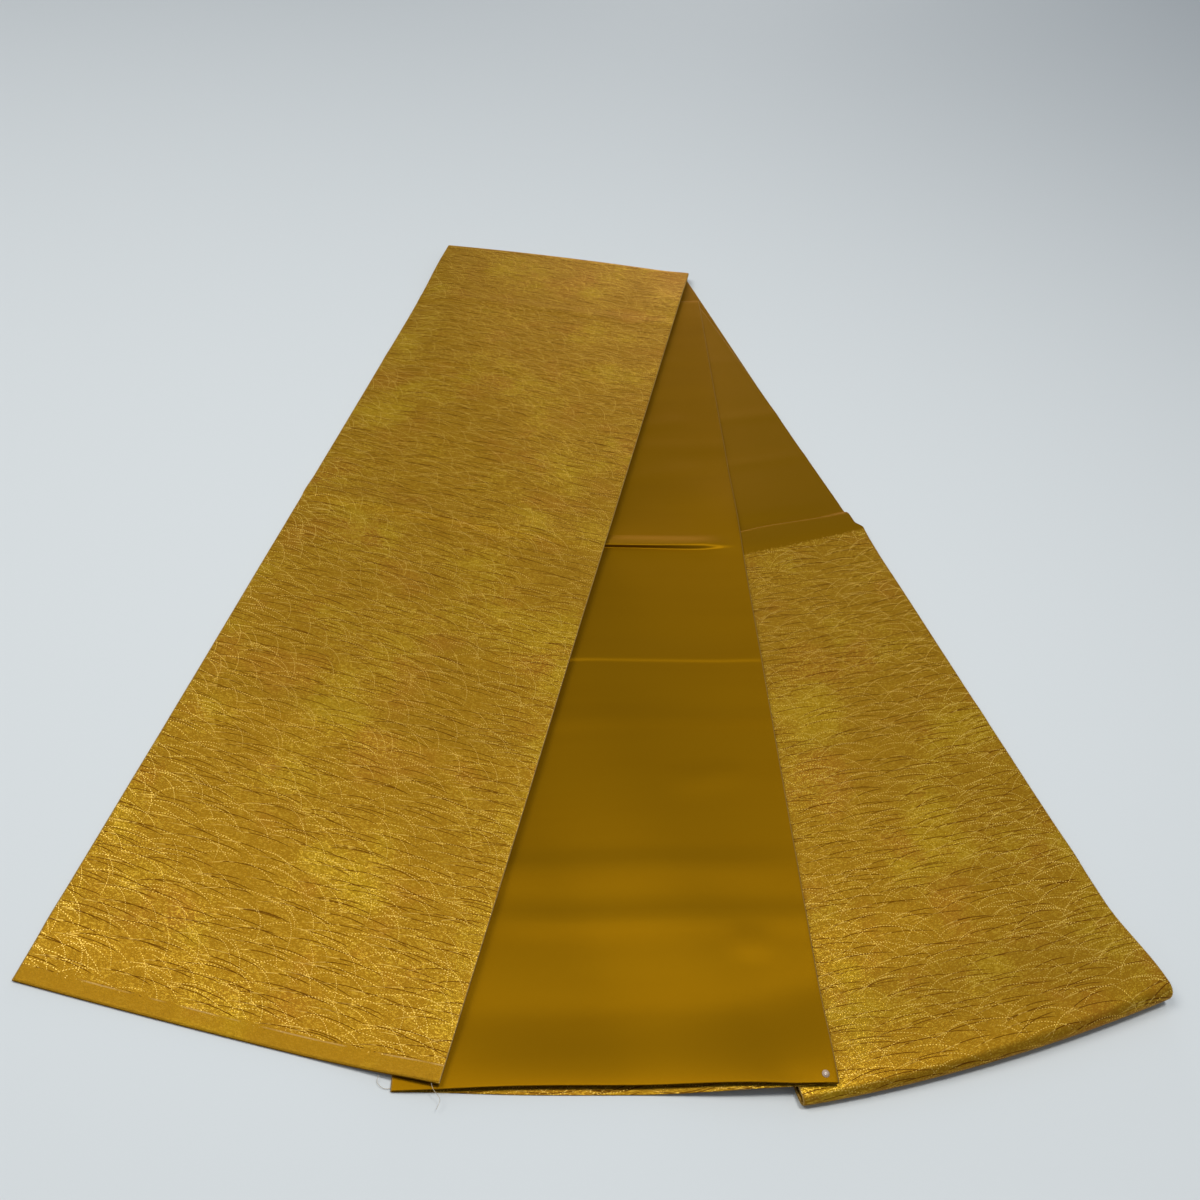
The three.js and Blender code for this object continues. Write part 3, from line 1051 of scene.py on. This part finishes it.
def brocade():
    material, nodes = new_material("front_brocade")
    shader = nodes["Principled BSDF"]
    w = Wiring(material.node_tree)
    cloth = w.node("ShaderNodeUVMap", 0, {"uv_map": "cloth"})
    across, along = w.split(cloth)[:2]
    past_band, figured, woven_gold = figured_parts(w, cloth, along)
    ground, glints, weave_height, fine_height = gold_ground(w, cloth, past_band, woven_gold)
    brown, gold = blade_figure(w, cloth)
    browned = w.math("MULTIPLY", w.math("MULTIPLY", brown, figured), 0.97)
    gilded = w.math("MULTIPLY", w.math("MULTIPLY", gold, figured), painted_blade_glint(w, across, along))
    figure = w.mix(gilded, w.mix(browned, ground, BROWN_THREAD), BRIGHT_THREAD)
    streaks = w.noise(w.vector("MULTIPLY", cloth, (1.5, 12.0, 1.0)), 2.0, 2.0)
    plain = w.mix(w.math("MULTIPLY", streaks, 0.5), PLAIN_GROUND, PLAIN_STREAK)
    colour = w.mix(woven_gold, plain, figure)
    colour = w.mix(pale_lines(w, cloth, across, along), colour, PALE_THREAD)
    w.put(shader.inputs["Base Color"], colour)

    rough = w.math("SUBTRACT", 0.42, w.math("MULTIPLY", glints, 0.30))
    w.put(shader.inputs["Roughness"], w.math("ADD", rough, w.math("MULTIPLY", browned, 0.25)))
    metal = w.math("SUBTRACT", w.math("MULTIPLY", gilded, 0.3), 0.15)
    metal = w.math("ADD", 0.60, w.math("MULTIPLY", woven_gold, metal))
    w.put(shader.inputs["Metallic"], metal)
    height = w.math("MULTIPLY", weave_height, woven_gold)
    height = w.math("ADD", height, w.math("MULTIPLY", fine_height, 0.5))
    bump = w.node("ShaderNodeBump", 0, None, Height=height, Strength=0.55, Distance=0.00035)
    w.put(shader.inputs["Normal"], bump)
    set_gold_cloth(shader, 0.08, 0.4)
    return material


BROCADE = brocade()
front_cloth.data.materials.append(BROCADE)
print("brocade has", len(BROCADE.node_tree.nodes), "nodes")

# %% [markdown]
# ## Back satin
# The back cloth is a plain brown-gold satin. Satin shines in broad soft bands, because its
# long floats all lie one way, so the material is anisotropic and its colour hardly varies.
# Broad bands a touch darker are also painted into its colour, a painted sheen. A very fine
# weave keeps it from looking like plastic up close, and its height paints the satin darker
# in places, a painted shade.

# %% Satin material
SATIN = (0.245, 0.118, 0.0015, 1.0)
SATIN_DEEP = (0.232, 0.110, 0.0013, 1.0)
SATIN_SHADE = (0.17, 0.075, 0.002, 1.0)


def satin():
    material, nodes = new_material("back_satin")
    shader = nodes["Principled BSDF"]
    w = Wiring(material.node_tree)
    cloth = w.node("ShaderNodeUVMap", 0, {"uv_map": "cloth"})
    across = w.split(cloth)[0]
    # painted sheen: broad bands across the satin are painted a touch darker
    bands = w.noise(w.vector("MULTIPLY", cloth, (2.0, 14.0, 1.0)), 1.6, 3.0)
    colour = w.mix(w.step(bands, 0.35, 0.70), SATIN, SATIN_DEEP)
    fine = place_group(w, WEAVE, cloth, float_length=0.0016, float_width=0.00035)
    # painted shade: the satin is painted darker where its fine weave's height is high
    colour = w.mix(w.math("MULTIPLY", fine["Height"], 0.22), colour, SATIN_SHADE)
    colour = w.mix(selvage_line(w, across, 0.45), colour, PALE_THREAD)
    w.put(shader.inputs["Base Color"], colour)
    rough = w.math("ADD", 0.40, w.math("MULTIPLY", fine["Height"], 0.10))
    w.put(shader.inputs["Roughness"], rough)
    bump = w.node("ShaderNodeBump", 0, None, Height=fine["Height"], Strength=0.25, Distance=0.0002)
    w.put(shader.inputs["Normal"], bump)
    shader.inputs["Anisotropic"].default_value = 0.5
    shader.inputs["Metallic"].default_value = 0.55
    set_gold_cloth(shader, 0.05, 0.35)
    return material


BACK_SATIN = satin()
back_cloth.data.materials.append(BACK_SATIN)
print("satin has", len(BACK_SATIN.node_tree.nodes), "nodes")

# %% [markdown]
# ## The stud
# One small press stud sits at the te end's near right corner. A lathe would turn it, so it is
# spun here from half its outline: a thin flange, a step and a domed cap with a small dimple.

# %% Stud
stud_low, stud_high = (Vector(corner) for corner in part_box("te_stud"))
stud_centre = (stud_low + stud_high) / 2
STUD_RADIUS = 0.45 * (stud_high.x - stud_low.x)
STUD_FLANGE = [(1.0, 0.0), (1.0, 0.10), (0.86, 0.16)]
STUD_CAP = [(0.80, 0.26), (0.72, 0.38), (0.52, 0.50), (0.28, 0.56), (0.14, 0.55), (0.0, 0.52)]
STUD_OUTLINE = STUD_FLANGE + STUD_CAP
STUD_SINK = 0.0001
PEARL = (0.55, 0.43, 0.33, 1.0)
PEARL_DEEP = (0.34, 0.23, 0.15, 1.0)


def top_of_back_cloth(x, y):
    points = BACK_POINTS[marks[6]:].reshape(-1, 3)
    nearest = np.argsort((points[:, 0] - x) ** 2 + (points[:, 1] - y) ** 2)[:4]
    return float(points[nearest, 2].max())


def make_stud():
    stud_bm = bmesh.new()
    verts = [stud_bm.verts.new((r * STUD_RADIUS, 0, h * STUD_RADIUS)) for r, h in STUD_OUTLINE]
    outline = [stud_bm.edges.new(pair) for pair in zip(verts, verts[1:])]
    bmesh.ops.spin(stud_bm, geom=verts + outline, cent=(0, 0, 0), axis=(0, 0, 1),
                   angle=2 * math.pi, steps=32, use_merge=True, use_duplicate=False)
    bmesh.ops.remove_doubles(stud_bm, verts=stud_bm.verts, dist=1e-6)
    rim = [edge for edge in stud_bm.edges if edge.is_boundary]
    bmesh.ops.contextual_create(stud_bm, geom=rim)
    bmesh.ops.recalc_face_normals(stud_bm, faces=stud_bm.faces)
    foot = top_of_back_cloth(stud_centre.x, stud_centre.y) - STUD_SINK
    place = Vector((stud_centre.x, stud_centre.y, foot))
    bmesh.ops.translate(stud_bm, verts=stud_bm.verts, vec=place)
    for face in stud_bm.faces:
        face.smooth = len(face.verts) < 5
    return to_object("press_stud", stud_bm)


press_stud = make_stud()
stud_material, nodes = new_material("pearl_glaze")
stud_shader = nodes["Principled BSDF"]
stud_wiring = Wiring(stud_material.node_tree)
stud_place = stud_wiring.node("ShaderNodeTexCoord", 3)
cloudy = stud_wiring.noise(stud_place, 600.0, 2.0)
stud_wiring.put(stud_shader.inputs["Base Color"], stud_wiring.mix(cloudy, PEARL, PEARL_DEEP))
stud_rough = stud_wiring.math("ADD", 0.16, stud_wiring.math("MULTIPLY", cloudy, 0.14))
stud_wiring.put(stud_shader.inputs["Roughness"], stud_rough)
stud_shader.inputs["Coat Weight"].default_value = 0.6
press_stud.data.materials.append(stud_material)
print("stud radius", round(STUD_RADIUS * 1000, 2), "mm at", [round(c, 4) for c in stud_centre])

# %% [markdown]
# ## Stray threads
# Two cut ends of sewing thread stick out, one at the te end's near left corner and one under the
# tare's near right corner. A thread this short is a small tube along a bent path. It could be a
# curve with a bevel, but circles set along the path and bridged give a closed mesh, which
# exports as it is.

# %% Thread maker
THREAD_RADIUS = 0.00016
THREAD_SIDES = 6
THREAD_STEPS = 24


def bent_path(points, steps):
    points = [Vector(p) for p in points]
    padded = [2 * points[0] - points[1]] + points + [2 * points[-1] - points[-2]]
    path = []
    for k in range(steps + 1):
        place = k / steps * (len(points) - 1)
        piece = min(int(place), len(points) - 2)
        t = place - piece
        a, b, c, d = padded[piece:piece + 4]
        curve = 2 * b + (c - a) * t
        curve += (2 * a - 5 * b + 4 * c - d) * t**2
        curve += (3 * b - a - 3 * c + d) * t**3
        path.append(curve / 2)
    return path


def thread_ring(thread_bm, path, k):
    ahead = path[min(k + 1, len(path) - 1)] - path[max(k - 1, 0)]
    aim = ahead.to_track_quat("Z", "Y").to_matrix().to_4x4()
    made = bmesh.ops.create_circle(thread_bm, cap_ends=False, segments=THREAD_SIDES,
                                   radius=THREAD_RADIUS, matrix=Matrix.Translation(path[k]) @ aim)
    return list({edge for vert in made["verts"] for edge in vert.link_edges})


def stray_thread(name, points):
    path = bent_path(points, THREAD_STEPS)
    thread_bm = bmesh.new()
    rings = [thread_ring(thread_bm, path, k) for k in range(len(path))]
    for ring, following in zip(rings, rings[1:]):
        bmesh.ops.bridge_loops(thread_bm, edges=ring + following)
    for ring in (rings[0], rings[-1]):
        bmesh.ops.contextual_create(thread_bm, geom=ring)
    bmesh.ops.recalc_face_normals(thread_bm, faces=thread_bm.faces)
    for face in thread_bm.faces:
        face.smooth = len(face.verts) == 4
    return to_object(name, thread_bm)


print("a thread is", THREAD_RADIUS * 2000, "mm thick")

# %% [markdown]
# ## The two threads in place
# Each path starts at a corner of the cloth and wanders from it in a few small steps. Sewing
# thread is pale and matt here, so its colour is a beige that noise darkens in places.

# %% Stray threads
COTTON = (0.62, 0.55, 0.42, 1.0)
COTTON_DEEP = (0.42, 0.34, 0.22, 1.0)
TE_THREAD_STEPS = [
    (0.004, 0.004, 0.0012),
    (-0.004, 0.002, 0.0010),
    (-0.010, 0.006, 0.0016),
    (-0.008, 0.013, 0.0030),
    (-0.002, 0.016, 0.0042),
]
TARE_THREAD_STEPS = [
    (-0.006, 0.004, 0.0),
    (-0.004, -0.003, -0.0006),
    (0.001, -0.009, -0.0030),
    (-0.001, -0.015, -0.0052),
]

thread_material, nodes = new_material("sewing_thread")
thread_shader = nodes["Principled BSDF"]
thread_wiring = Wiring(thread_material.node_tree)
thread_place = thread_wiring.node("ShaderNodeTexCoord", 3)
fibres = thread_wiring.noise(thread_place, 2500.0, 1.0)
thread_wiring.put(thread_shader.inputs["Base Color"], thread_wiring.mix(fibres, COTTON, COTTON_DEEP))
thread_shader.inputs["Roughness"].default_value = 0.7
te_corner = Vector((FRONT_POINTS[-1, 1, 0], FRONT_POINTS[-1, 1, 1], 0))
tare_corner = Vector(BACK_POINTS[1, -2])
thread_plan = {
    "te_stray_thread": [te_corner + Vector(step) for step in TE_THREAD_STEPS],
    "tare_stray_thread": [tare_corner + Vector(step) for step in TARE_THREAD_STEPS],
}
stray_threads = [stray_thread(name, points) for name, points in thread_plan.items()]
for piece in stray_threads:
    piece.data.materials.append(thread_material)
    print(piece.name, "has", len(piece.data.polygons), "faces")

# %% [markdown]
# ## Who rides on what
# The sash is one body, so every piece rides on its root. The frame's solids that the two
# cloths and the stud stand for are hidden.

# %% Ride and replace
front_nodes = [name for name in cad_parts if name.endswith("front_cloth")]
back_nodes = [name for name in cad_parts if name.endswith("back_cloth")]
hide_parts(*front_nodes)
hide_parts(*back_nodes)
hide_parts("te_stud")
for piece, slot_name in ((front_cloth, "front_cloth"), (back_cloth, "back_cloth"), (press_stud, "stud")):
    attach(piece, "root")
for piece in stray_threads:
    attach(piece, "root")
print("front cloth stands for", front_nodes)

# %% [markdown]
